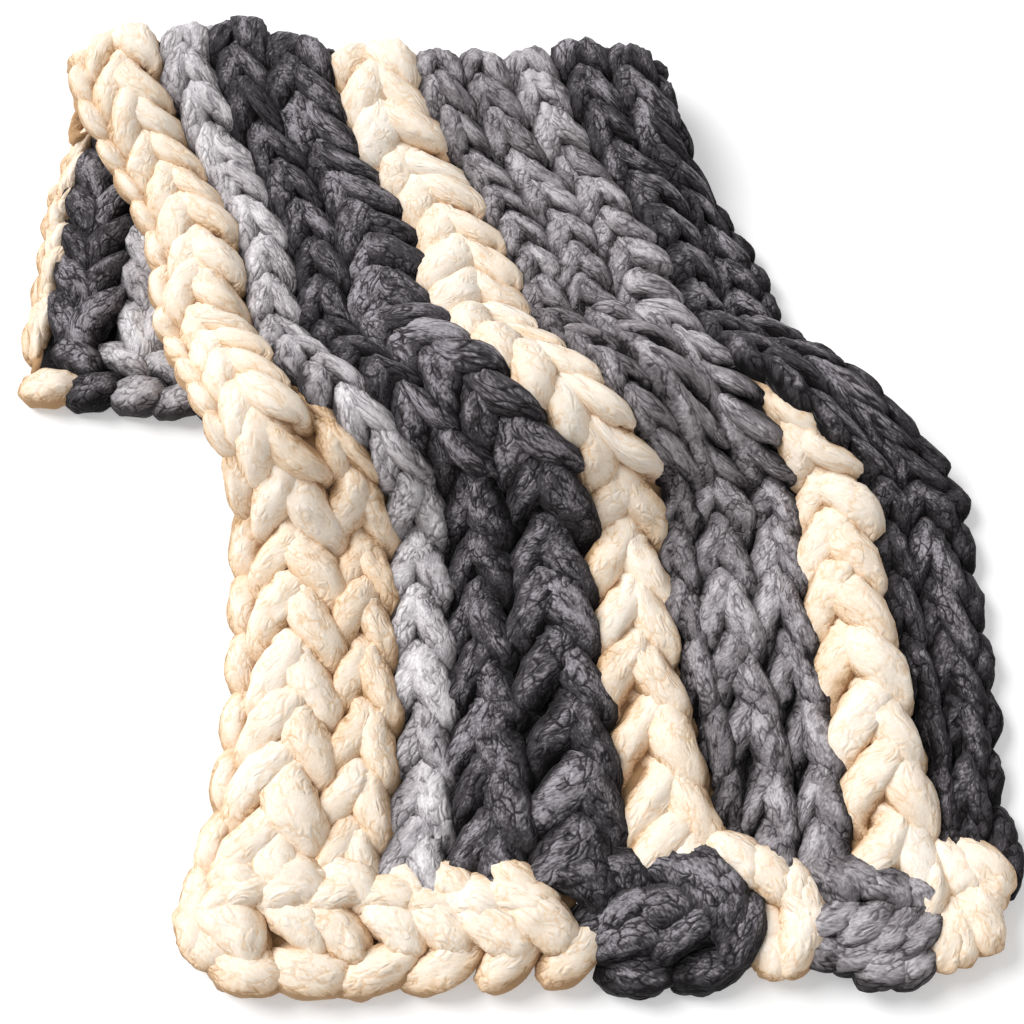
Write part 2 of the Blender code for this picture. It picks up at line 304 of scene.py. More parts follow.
# The near hem is rolled and coiled: runs of plump lobes of yarn. A run has its yarn, its number of
# lobes, the places (across, in from the end) of its first and its last lobe, how far the line
# between them bulges to the right if it does, their headings in degrees from across, and the
# length, radius, depth and sideways bend of each lobe.
HEM_RUNS = (
    {
        "part": "cream roll, front", "yarn": "cream", "lobes": 6,
        "first": (0.074, 0.010), "last": (0.466, 0.040), "bulge": 0.016, "headings": (-18.0, 62.0),
        "length": 0.112, "radius": 0.031, "depth": 0.000, "bend": -0.010,
    },
    {
        "part": "cream roll, corner", "yarn": "cream", "lobes": 3,
        "first": (-0.002, 0.082), "last": (0.024, 0.020), "bulge": 0.006, "headings": (-84.0, -40.0),
        "length": 0.090, "radius": 0.027, "depth": 0.000, "bend": 0.006,
    },
    {
        "part": "cream roll, middle", "yarn": "cream", "lobes": 7,
        "first": (0.046, 0.046), "last": (0.424, 0.052), "bulge": 0.004, "headings": (-36.0, -28.0),
        "length": 0.116, "radius": 0.029, "depth": 0.014, "bend": 0.014,
    },
    {
        "part": "cream roll, back", "yarn": "cream", "lobes": 7,
        "first": (0.056, 0.076), "last": (0.402, 0.078), "headings": (26.0, -8.0),
        "length": 0.096, "radius": 0.027, "depth": 0.018, "bend": 0.012,
    },
    {
        "part": "cream roll, top", "yarn": "cream", "lobes": 6,
        "first": (0.050, 0.104), "last": (0.380, 0.098), "headings": (-34.0, -24.0),
        "length": 0.088, "radius": 0.026, "depth": 0.016, "bend": 0.010,
    },
    {
        "part": "charcoal coil, back", "yarn": "charcoal", "lobes": 4,
        "first": (0.456, 0.108), "last": (0.628, 0.114), "headings": (-20.0, -30.0),
        "length": 0.098, "radius": 0.029, "depth": 0.017, "bend": 0.014,
    },
    {
        "part": "charcoal coil, core", "yarn": "charcoal", "lobes": 3,
        "first": (0.500, 0.056), "last": (0.646, 0.060), "headings": (24.0, 30.0),
        "length": 0.100, "radius": 0.031, "depth": 0.003, "bend": 0.008,
    },
    {
        "part": "charcoal coil, ball", "yarn": "charcoal", "lobes": 3,
        "first": (0.530, 0.072), "last": (0.624, 0.084), "bulge": 0.004, "headings": (24.0, -44.0),
        "length": 0.082, "radius": 0.027, "depth": 0.023, "bend": 0.014,
    },
    {
        "part": "charcoal coil, ring", "yarn": "charcoal", "lobes": 4,
        "first": (0.610, 0.110), "last": (0.662, 0.046), "bulge": -0.014, "headings": (-26.0, -104.0),
        "length": 0.090, "radius": 0.029, "depth": 0.021, "bend": 0.014,
    },
    {
        "part": "charcoal coil, cap", "yarn": "charcoal", "lobes": 1,
        "first": (0.616, 0.104), "last": (0.616, 0.104), "headings": (150.0, 150.0),
        "length": 0.080, "radius": 0.026, "depth": 0.028, "bend": -0.012,
    },
    {
        "part": "charcoal coil, foot", "yarn": "charcoal", "lobes": 2,
        "first": (0.534, 0.032), "last": (0.610, 0.042), "headings": (10.0, 44.0),
        "length": 0.096, "radius": 0.028, "depth": 0.013, "bend": 0.014,
    },
    {
        "part": "charcoal coil, toes", "yarn": "charcoal", "lobes": 2,
        "first": (0.548, 0.010), "last": (0.638, 0.020), "headings": (-4.0, 16.0),
        "length": 0.098, "radius": 0.028, "depth": -0.002, "bend": -0.010,
    },
    {
        "part": "middle cream, back", "yarn": "cream", "lobes": 3,
        "first": (0.660, 0.134), "last": (0.734, 0.094), "headings": (-34.0, -52.0),
        "length": 0.092, "radius": 0.027, "depth": 0.018, "bend": 0.010,
    },
    {
        "part": "middle cream, front", "yarn": "cream", "lobes": 3,
        "first": (0.736, 0.080), "last": (0.738, 0.038), "bulge": -0.006, "headings": (-60.0, -98.0),
        "length": 0.088, "radius": 0.030, "depth": 0.012, "bend": 0.012,
    },
    {
        "part": "middle cream, toes", "yarn": "cream", "lobes": 2,
        "first": (0.706, 0.056), "last": (0.712, 0.022), "headings": (-74.0, -48.0),
        "length": 0.082, "radius": 0.027, "depth": 0.001, "bend": 0.008,
    },
    {
        "part": "mid grey, back", "yarn": "mid_grey", "lobes": 4,
        "first": (0.784, 0.100), "last": (0.880, 0.080), "headings": (-40.0, -24.0),
        "length": 0.080, "radius": 0.025, "depth": 0.017, "bend": 0.010,
    },
    {
        "part": "mid grey, middle", "yarn": "mid_grey", "lobes": 4,
        "first": (0.790, 0.060), "last": (0.888, 0.044), "headings": (30.0, 40.0),
        "length": 0.068, "radius": 0.026, "depth": 0.018, "bend": -0.008,
    },
    {
        "part": "mid grey, front", "yarn": "mid_grey", "lobes": 4,
        "first": (0.786, 0.026), "last": (0.892, 0.012), "bulge": 0.006, "headings": (-20.0, 46.0),
        "length": 0.070, "radius": 0.028, "depth": 0.005, "bend": -0.006,
    },
    {
        "part": "right cream, fan", "yarn": "cream", "lobes": 6,
        "first": (0.952, 0.114), "last": (0.918, 0.036), "bulge": -0.028, "headings": (-28.0, -92.0),
        "length": 0.106, "radius": 0.027, "depth": 0.012, "bend": 0.008,
    },
    {
        "part": "right cream, back", "yarn": "cream", "lobes": 3,
        "first": (0.906, 0.100), "last": (0.962, 0.116), "headings": (-84.0, -34.0),
        "length": 0.098, "radius": 0.027, "depth": 0.018, "bend": 0.006,
    },
    {
        "part": "right charcoal, end", "yarn": "charcoal", "lobes": 2,
        "first": (0.998, 0.164), "last": (1.006, 0.118), "headings": (-74.0, -88.0),
        "length": 0.090, "radius": 0.022, "depth": -0.004, "bend": 0.006,
    },
)
# What closes the hem behind its lobes: yarn, and from where to where across.
HEM_GROUND = (
    {"yarn": "cream", "from": 0.020, "to": 0.470},
    {"yarn": "charcoal", "from": 0.475, "to": 0.675},
    {"yarn": "cream", "from": 0.675, "to": 0.765},
    {"yarn": "mid_grey", "from": 0.765, "to": 0.900},
    {"yarn": "cream", "from": 0.900, "to": 0.955},
)
HEM_GROUND_IN, HEM_GROUND_CELLS = (0.024, 0.125), 6
NEAR_END = 0.008  # where along the cloth the near hem's lobes are measured from

# The far end has a plainer braid of two rows of lobes, with the yarns of the stripes.
FAR_ROWS = (
    {"in": 0.026, "depth": -0.002, "heading": 14.0, "shift": 0.0},
    {"in": 0.062, "depth": 0.006, "heading": -24.0, "shift": 0.5},
)
FAR_LOBES, FAR_MARGIN = 13, 0.030
FAR_LENGTH, FAR_RADIUS, FAR_BEND = 0.100, 0.028, 0.008
FAR_YARNS = (
    {"yarn": "cream", "until": 0.04},
    {"yarn": "charcoal", "until": 0.13},
    {"yarn": "light_grey", "until": 0.28},
    {"yarn": "charcoal", "until": 0.46},
    {"yarn": "cream", "until": 0.55},
    {"yarn": "mid_grey", "until": 0.75},
    {"yarn": "cream", "until": 0.83},
    {"yarn": "charcoal", "until": 1.0},
)
LOBE_DIVE = 0.012  # how much deeper the ends of a lobe of the hem or braid lie than its middle
LOBE_TILT = 0.006  # and how much higher than its middle the end that its heading points to lies
LOBE_END, LOBE_BLUNTNESS = 0.03, 0.7  # share of the radius left at its ends, and their shape
LOBE_SAMPLES = 26
JUMBLE = {"place": 0.004, "heading": 5.0, "size": 0.06, "tone": 0.15}
STITCH_SEED, HEM_SEED, BRAID_SEED = 7, 200, 300  # of the random differences

# The ground behind the lobes, which closes the gaps between them: a sheet in the yarn's material,
# darkened with painted shade.
GROUND_DEPTH, GROUND_THICKNESS = 0.002, 0.004
GROUND_INSET = 0.008  # from the sides of the outer wales, inside the turns of the selvedge
GROUND_START, GROUND_MARGIN = 0.115, 0.040  # left free at the near and at the far end
GROUND_CELLS_PER_WALE, GROUND_CELL_LENGTH = 2, 0.02
GROUND_SINKS = 0.026  # at most, under a sunk wale
GROUND_PAINTED_SHADE = -0.35  # how deep its shading counts it, from 0 to -1
FLOOR_SOFTNESS = 0.004  # yarn on the floor flattens over this height


# ---- Yarn -------------------------------------------------------------------------------------
def leg_radius(t):
    """Share of the lobe's radius along a stitch, t from -pi to pi: a leaf, thin at both ends.

    With q = |t| / pi, 0 at the head and 1 at the neck, it is a soft hump about PLUMPEST.
    """
    plump = hump((np.abs(t) / np.pi - PLUMPEST) / PLUMP_REACH)
    return TIP_SHARE + (1.0 - TIP_SHARE) * plump


def lean(along):
    """How far the wales go sideways for each metre along the cloth."""
    step = 0.005
    return (drift(along + step) - drift(along - step)) / (2.0 * step)


def row_borders():
    """The edges of the rows along the cloth.

    A row is shorter beyond the wave, and by the square root of 1 + lean squared where the wales
    lean: there the edges are evenly spaced in the integral of that root over the pitch.
    """
    along = np.linspace(ROW_MARGIN, LENGTH - ROW_MARGIN, PITCH_STEPS)
    pitch = 1.0 - (1.0 - FAR_PITCH) * smooth((along - FAR_PITCH_START) / FAR_PITCH_LENGTH)
    measure = np.cumsum(np.sqrt(1.0 + lean(along) ** 2) / pitch)
    return np.interp(np.linspace(measure[0], measure[-1], ROWS + 1), measure, along)


def wale_value(kind, along):
    """A column of WALES at distances along the cloth: one line for each distance, twelve wide.

    It passes smoothly from each of the four tabled values to the next, over PASSAGES.
    """
    table = np.array([wale[kind] for wale in WALES])
    value = table[:, 0]
    for k, passage in enumerate(PASSAGES):
        share = smooth((np.asarray(along)[:, None] - passage["start"]) / passage["length"])
        value = value + (table[:, k + 1] - table[:, k]) * share
    return value


def wale_edges(along):
    """The thirteen edges of the wales on the cloth, in metres, at distances along it."""
    shares = wale_value("share", along)
    metres = shares / shares.sum(axis=1, keepdims=True) * (WIDTH - 2.0 * SELVEDGE)
    return SELVEDGE + np.concatenate([np.zeros((len(metres), 1)), np.cumsum(metres, axis=1)], axis=1)


def lobe_radius(edges, along):
    """The radius of the yarn in a wale: it follows the wale's width, evened out a little."""
    own = np.diff(edges, axis=1) / (1.0 + lean(along)[:, None] ** 2) ** 0.25
    mean = (WIDTH - 2.0 * SELVEDGE) / len(WALES)
    return LOBE_RADIUS * ((1.0 - EVEN_RADIUS) * own + EVEN_RADIUS * mean)


def stitch_path(t, wale, rows, edges, random, face):
    """Centre line, radius and tone of one stitch of each row, for t from -pi to pi across a wale.

    across = centre + w (t / 2 pi + swing sin 2t - crossing sin t);
    along = row - reach cos t - stagger sin t; depth = centre - weave cos 2t - dive cos t.
    Both legs come forward where cos 2t is -1.
    Where the wales lean by s, the stitch leans with them: along loses s / (1 + s squared) for
    each metre across. rows has the places and pitches of the rows; random is a rows x 12 array
    that nudges each leg where the squared sine of t is large.
    """
    row_at, pitch = rows[:, :1], rows[:, 1:]
    left_edge, right_edge = edges[:, wale : wale + 1], edges[:, wale + 1 : wale + 2]
    w = right_edge - left_edge
    leg = np.sin(t) ** 2
    left = t < 0.0

    def nudge(k):
        return np.where(left, random[:, k : k + 1], random[:, k + 1 : k + 2]) * leg

    swing = LOBE_SWING * (1.0 + STIR["swing"] * nudge(0))
    place = t / TAU + swing * np.sin(2.0 * t) - CROSSING * np.sin(t)
    offset = w * (place + STIR["across"] * nudge(2))
    stagger = WALES[wale]["stagger"] / 2.0
    reach = STIR["along"] * nudge(4) - LOBE_REACH * np.cos(t)
    along = row_at + pitch * (reach - stagger * np.sin(t))
    slope = lean(row_at)
    stays = 1.0 - smooth((np.abs(t) / np.pi - LEAN_UNTIL) / LEAN_FADE)
    along = along - slope / (1.0 + slope**2) * offset * stays
    depth = WEAVE_CENTRE - WEAVE_DEPTH * np.cos(2.0 * t) - HEAD_DIVE * np.cos(t)
    depth = depth + OVERLAP * np.sin(t) + STIR["depth"] * nudge(6)
    depth = np.maximum(depth - wale_value("sunk", row_at[:, 0])[:, wale : wale + 1], DEEPEST)
    radius = lobe_radius(edges, row_at[:, 0])[:, wale : wale + 1] * leg_radius(t)
    radius = radius * (1.0 + STIR["radius"] * nudge(8))
    tone = wale_value("tone", row_at[:, 0])[:, wale : wale + 1]
    tone = tone + LEG_TONE_STIR * nudge(10) + STITCH_TONE_STIR * random[:, 9:10]
    across = (left_edge + right_edge) / 2.0 + offset
    return np.stack([across, along, face * depth], axis=-1), radius, tone + 0.0 * t


def turn_path(edge, outward, rows, radius, face):
    """A turn of the selvedge: half an ellipse from one row's neck to the next row's, outward."""
    row_at, pitch = rows[:, :1], rows[:, 1:]
    angle = np.linspace(0.0, np.pi, TURN_SAMPLES)[1:]
    along = row_at + pitch * (LOBE_REACH - 0.5 + 0.5 * np.cos(angle))
    bulge = np.minimum(SELVEDGE, TURN_BULGE * radius[:, None])
    across = edge[:, None] + outward * bulge * np.sin(angle)
    depth = WEAVE_CENTRE - WEAVE_DEPTH * (1.0 - TURN_RISE * np.sin(angle)) + 0.0 * along
    girth = radius[:, None] * (TIP_SHARE + (TURN_GIRTH - TIP_SHARE) * np.sin(angle) ** 2)
    # The turn's tone is painted light, lighter than yarn in a groove.
    return np.stack([across, along, face * depth], axis=-1), girth, np.full(girth.shape, TURN_PAINTED_LIGHT)


def lobe_paths(across, along, depth, heading, length, radius, bend):
    """Centre lines and radii of separate plump lobes, one for each entry of the arrays.

    With u the sine of an angle from -90 to 90 degrees, a lobe runs length / 2 times u along its
    heading, bends sideways by bend times the cosine squared, and dives by LOBE_DIVE u squared
    at its ends and tilts by LOBE_TILT u; its radius follows a power of the cosine, LOBE_BLUNTNESS,
    so its ends are round and closed.
    """
    angle = np.linspace(-np.pi / 2.0, np.pi / 2.0, LOBE_SAMPLES)
    u, c = np.sin(angle), np.cos(angle).clip(0.0)
    turn = np.radians(heading)[:, None]
    run = length[:, None] / 2.0 * u
    side = bend[:, None] * c**2
    path = [
        across[:, None] + np.cos(turn) * run - np.sin(turn) * side,
        along[:, None] + np.sin(turn) * run + np.cos(turn) * side,
        depth[:, None] - LOBE_DIVE * u**2 + LOBE_TILT * u,
    ]
    share = LOBE_END + (1.0 - LOBE_END) * c**LOBE_BLUNTNESS
    return np.stack(path, axis=-1), radius[:, None] * share


def tube(path, radius, seed):
    """Round yarn along each path: path is tubes x samples x 3 on the cloth, radius alongside.

    At each sample the ring is radius x (cosine along the side way, LOBE_FLATNESS x sine along the
    face way), where the side way is tangent x depth and the face way is side x tangent. Soft
    noise, LUMPS high, swells and pinches it. The grain is where a place is on its own strand: the
    way along it and the two ways across, moved on for each tube, so that no two look alike.
    """
    tangent = np.gradient(path, axis=1)
    tangent /= np.linalg.norm(tangent, axis=-1, keepdims=True)
    side = np.cross(tangent, np.array([0.0, 0.0, 1.0]))
    side /= np.linalg.norm(side, axis=-1, keepdims=True)
    face = np.cross(side, tangent)
    run = np.linalg.norm(np.diff(path, axis=1), axis=-1)
    run = np.concatenate([np.zeros((len(path), 1)), np.cumsum(run, axis=1)], axis=1)
    angle = np.linspace(0.0, TAU, SIDES, endpoint=False)
    ring = np.cos(angle)[:, None] * side[:, :, None]
    ring = ring + np.sin(angle)[:, None] * face[:, :, None] * LOBE_FLATNESS
    radii = radius[:, :, None]
    ways = [np.broadcast_to(run[:, :, None], ring.shape[:-1])]
    ways += [radii * np.cos(angle), radii * np.sin(angle)]
    moved_on = np.arange(len(path)) * TUBE_APART + seed * SEED_APART
    grain = np.stack(ways, axis=-1) + np.array(APART_WAY) * moved_on[:, None, None, None]
    squeezed = grain * np.array([LUMP_SQUEEZE, 1.0, 1.0])
    swell = sum(ripple(squeezed, size, seed + k) for k, size in enumerate(LUMP_SIZES)) / 2.0
    girth = radii + LUMPS * swell
    # How far round its strand a place faces outward, which sets the painted shade.
    plump = radius / radius.max(axis=1, keepdims=True)
    facing = plump[:, :, None] * np.sin(angle)
    return path[:, :, None] + ring * girth[..., None], grain, facing


def tube_faces(tubes, samples, sides):
    """Quads between neighbouring rings, and a fan of triangles to the pole at each end."""
    ring = np.arange(sides)
    after = (ring + 1) % sides
    start = (np.arange(samples - 1) * sides)[:, None]
    corners = [start + after, start + ring, start + sides + ring, start + sides + after]
    quads = np.stack(corners, axis=-1).reshape(-1, 4)
    last = (samples - 1) * sides
    pole_a = samples * sides
    pole_b = pole_a + 1
    first_fan = np.stack([ring, after, np.full(sides, pole_a)], axis=-1)
    last_fan = np.stack([last + after, last + ring, np.full(sides, pole_b)], axis=-1)
    fans = np.concatenate([first_fan, last_fan])
    per_tube = samples * sides + 2
    base = (np.arange(tubes) * per_tube)[:, None, None]
    return (quads[None] + base).reshape(-1, 4), (fans[None] + base).reshape(-1, 3)


def mesh_object(name, vertices, quads, triangles, attributes):
    """A mesh object from arrays, with its vertex attributes, shaded smooth."""
    mesh = bpy.data.meshes.new(name)
    mesh.vertices.add(len(vertices))
    mesh.vertices.foreach_set("co", np.asarray(vertices, dtype=np.float32).ravel())
    corners = np.concatenate([quads.ravel(), triangles.ravel()]).astype(np.int32)
    sizes = np.concatenate([np.full(len(quads), 4), np.full(len(triangles), 3)])
    starts = np.concatenate([[0], np.cumsum(sizes)[:-1]]).astype(np.int32)
    mesh.loops.add(len(corners))
    mesh.loops.foreach_set("vertex_index", corners)
    mesh.polygons.add(len(sizes))
    mesh.polygons.foreach_set("loop_start", starts)
    for label, values in attributes.items():
        kind, field = ("FLOAT_VECTOR", "vector") if values.ndim == 2 else ("FLOAT", "value")
        layer = mesh.attributes.new(label, kind, "POINT")
        layer.data.foreach_set(field, np.asarray(values, dtype=np.float32).ravel())
    mesh.update(calc_edges=True)
    mesh.validate()
    mesh.shade_smooth()
    obj = bpy.data.objects.new(name, mesh)
    bpy.context.scene.collection.objects.link(obj)
    return obj


def tube_arrays(path, radius, tone, face, seed):
    """Vertices, faces and attributes of closed tubes that all have the same number of samples."""
    skin, grain, facing = tube(path, radius, seed)
    tubes, samples, sides = skin.shape[:3]
    ends = np.stack([path[:, 0], path[:, -1]], axis=1)
    cloth = np.concatenate([skin.reshape(tubes, -1, 3), ends], axis=1)
    end_grain = np.stack([grain[:, 0, 0], grain[:, -1, 0]], axis=1)
    tones = np.repeat(tone[:, :, None], sides, axis=2).reshape(tubes, -1)
    quads, fans = tube_faces(tubes, samples, sides)
    facing = np.concatenate([face * facing.reshape(tubes, -1), np.zeros((tubes, 2))], axis=1)
    # The height attribute is painted shade and painted highlight: from how far round its strand a place
    # faces outward and how high it lies in the cloth.
    level = (face * cloth[..., 2] / (CLOTH / 2.0)).clip(-1.0, HIGHEST_LEVEL)
    return {
        "vertices": lay(cloth).reshape(-1, 3),
        "quads": quads,
        "fans": fans,
        "grain": np.concatenate([grain.reshape(tubes, -1, 3), end_grain], axis=1).reshape(-1, 3),
        # The tone is the yarn's own lightness, and painted light on the turns of the selvedge.
        "tone": np.concatenate([tones, tone[:, [0, -1]]], axis=1).ravel(),
        "height": (FACING_SHARE * facing + (1.0 - FACING_SHARE) * level).ravel(),
    }


def slab_arrays(across, along, depth, face):
    """A closed slab over a grid of places on the cloth: the grid, its twin further back, and a rim.

    across and depth are (cells + 1) along x (cells + 1) across, along has a value for each line.
    """
    flat = [across, np.repeat(along[:, None], across.shape[1], axis=1)]
    depths = [face * depth, face * (depth - GROUND_THICKNESS)][::face]
    layers = [np.stack([*flat, layer], axis=-1).reshape(-1, 3) for layer in depths]
    cloth = np.concatenate(layers)
    index = np.arange(across.size).reshape(across.shape)
    a, b, c, d = index[:-1, :-1], index[:-1, 1:], index[1:, 1:], index[1:, :-1]
    top = np.stack([a, b, c, d], axis=-1).reshape(-1, 4)
    rim = np.concatenate([index[0, :], index[1:, -1], index[-1, -2::-1], index[-2::-1, 0]])
    below = rim + across.size
    rim_quads = np.stack([rim[:-1], below[:-1], below[1:], rim[1:]], axis=-1)
    return {
        "vertices": lay(cloth),
        "quads": np.concatenate([top, top[:, ::-1] + across.size, rim_quads]),
        "fans": np.zeros((0, 3), dtype=int),
        "grain": cloth,
        "tone": np.zeros(len(cloth)),
        # The ground's height attribute is painted shade.
        "height": np.full(len(cloth), GROUND_PAINTED_SHADE),
    }


def stripe_ground(stripe, row_edges):
    """The ground of a stripe, GROUND_DEPTH behind the middle and deeper under a sunk wale."""
    first_wale, end_wale = stripe["wales"]
    start, end = row_edges[stripe["rows"][0]], row_edges[stripe["rows"][1]]
    along = np.linspace(start, end, int(round((end - start) / GROUND_CELL_LENGTH)) + 1)
    edges = wale_edges(along)
    edges[:, 0] += GROUND_INSET
    edges[:, -1] -= GROUND_INSET
    cells = GROUND_CELLS_PER_WALE * (end_wale - first_wale)
    share = np.linspace(0.0, 1.0, cells + 1)
    across = edges[:, first_wale, None] * (1.0 - share) + edges[:, end_wale, None] * share
    wale = (first_wale + np.arange(cells + 1) // GROUND_CELLS_PER_WALE).clip(max=end_wale - 1)
    sunk = np.minimum(wale_value("sunk", along)[:, wale], GROUND_SINKS)
    return slab_arrays(across, along, GROUND_DEPTH - sunk, stripe["face"])


def yarn_piece(name, yarn, parts):
    """A piece joined from closed parts, in its yarn's material."""
    offsets = np.cumsum([0] + [len(part["vertices"]) for part in parts[:-1]])
    quads = np.concatenate([part["quads"] + offset for part, offset in zip(parts, offsets)])
    fans = np.concatenate([part["fans"] + offset for part, offset in zip(parts, offsets)])
    vertices = np.concatenate([part["vertices"] for part in parts])
    attributes = {
        label: np.concatenate([part[label] for part in parts]) for label in ("grain", "tone", "height")
    }
    piece = mesh_object(name, vertices, quads, fans, attributes)
    piece.data.materials.append(MATERIALS[yarn])
    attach(piece, "root")
    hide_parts("blanket")


# ---- Materials --------------------------------------------------------------------------------
# Colours from the depths between the loops to the lit tips of the pile: deep and shade are painted
# shade, and tip is the pile's lighter tips with a painted highlight. Also how strongly the
# mottling, the fine flecks, the painted shade of the creases and the painted shade of the depth
# move the yarn between them.
YARN_LOOKS = {
    "cream": {
        "deep": (0.42, 0.255, 0.13), "shade": (0.75, 0.545, 0.36),
        "body": (0.86, 0.730, 0.590), "tip": (0.93, 0.865, 0.785),
        "mottle": 0.14, "fleck": 0.24, "crease_shade": 0.26, "depth": 0.78, "sheen": 0.15, "relief": 0.34,
    },
    "light_grey": {
        "deep": (0.03, 0.026, 0.028), "shade": (0.17, 0.155, 0.163),
        "body": (0.41, 0.385, 0.400), "tip": (0.76, 0.735, 0.75),
        "mottle": 0.22, "fleck": 0.30, "crease_shade": 0.34, "depth": 0.80, "sheen": 0.20, "relief": 0.7,
    },
    "mid_grey": {
        "deep": (0.008, 0.0067, 0.0075), "shade": (0.070, 0.0625, 0.067),
        "body": (0.215, 0.197, 0.208), "tip": (0.54, 0.515, 0.535),
        "mottle": 0.22, "fleck": 0.30, "crease_shade": 0.34, "depth": 0.88, "sheen": 0.20, "relief": 0.75,
    },
    "charcoal": {
        "deep": (0.0015, 0.0013, 0.0015), "shade": (0.013, 0.0112, 0.0123),
        "body": (0.061, 0.0555, 0.061), "tip": (0.38, 0.357, 0.385),
        "mottle": 0.20, "fleck": 0.30, "crease_shade": 0.36, "depth": 0.96, "sheen": 0.30, "relief": 0.8,
    },
}
BODY_LEVEL = 0.62  # where on the way from deep to tip the plain yarn lies
# Painted shade and painted highlight: the height that shades the yarn darker in the depths and on
# flanks that face away, and lighter on the highest crests, is part the level in the cloth, in halves
# of its thickness, and part how far round its own strand a place faces outward.
FACING_SHARE, HIGHEST_LEVEL = 0.68, 1.12
# The yarn gets painted shade over these heights, and the highest crests get a painted highlight.
SHADED_HEIGHTS, CREST_LIGHT = (-0.02, 1.12), 0.13  # the highest crests are lighter than the body
CREASE_CELL, CREASE_STRETCH = 0.0105, 2.1  # puffs between creases, drawn out along the yarn
WANDER, WANDER_SIZE, PATCH_SIZE = 0.014, 0.020, 0.017  # creases wander, and come in patches
MOTTLE_SIZE, MOTTLE_STRETCH = 0.014, 1.6
STROKE_SIZE, STROKE_STRETCH, STROKE_SLANT = 0.0026, 3.0, (0.5, 0.6, 0.6)  # of the pile
TONE_WEIGHT = 0.30  # how far a tone of 1 moves the yarn from deep towards tip
PUFF_RELIEF, PILE_RELIEF = 0.0026, 0.0015


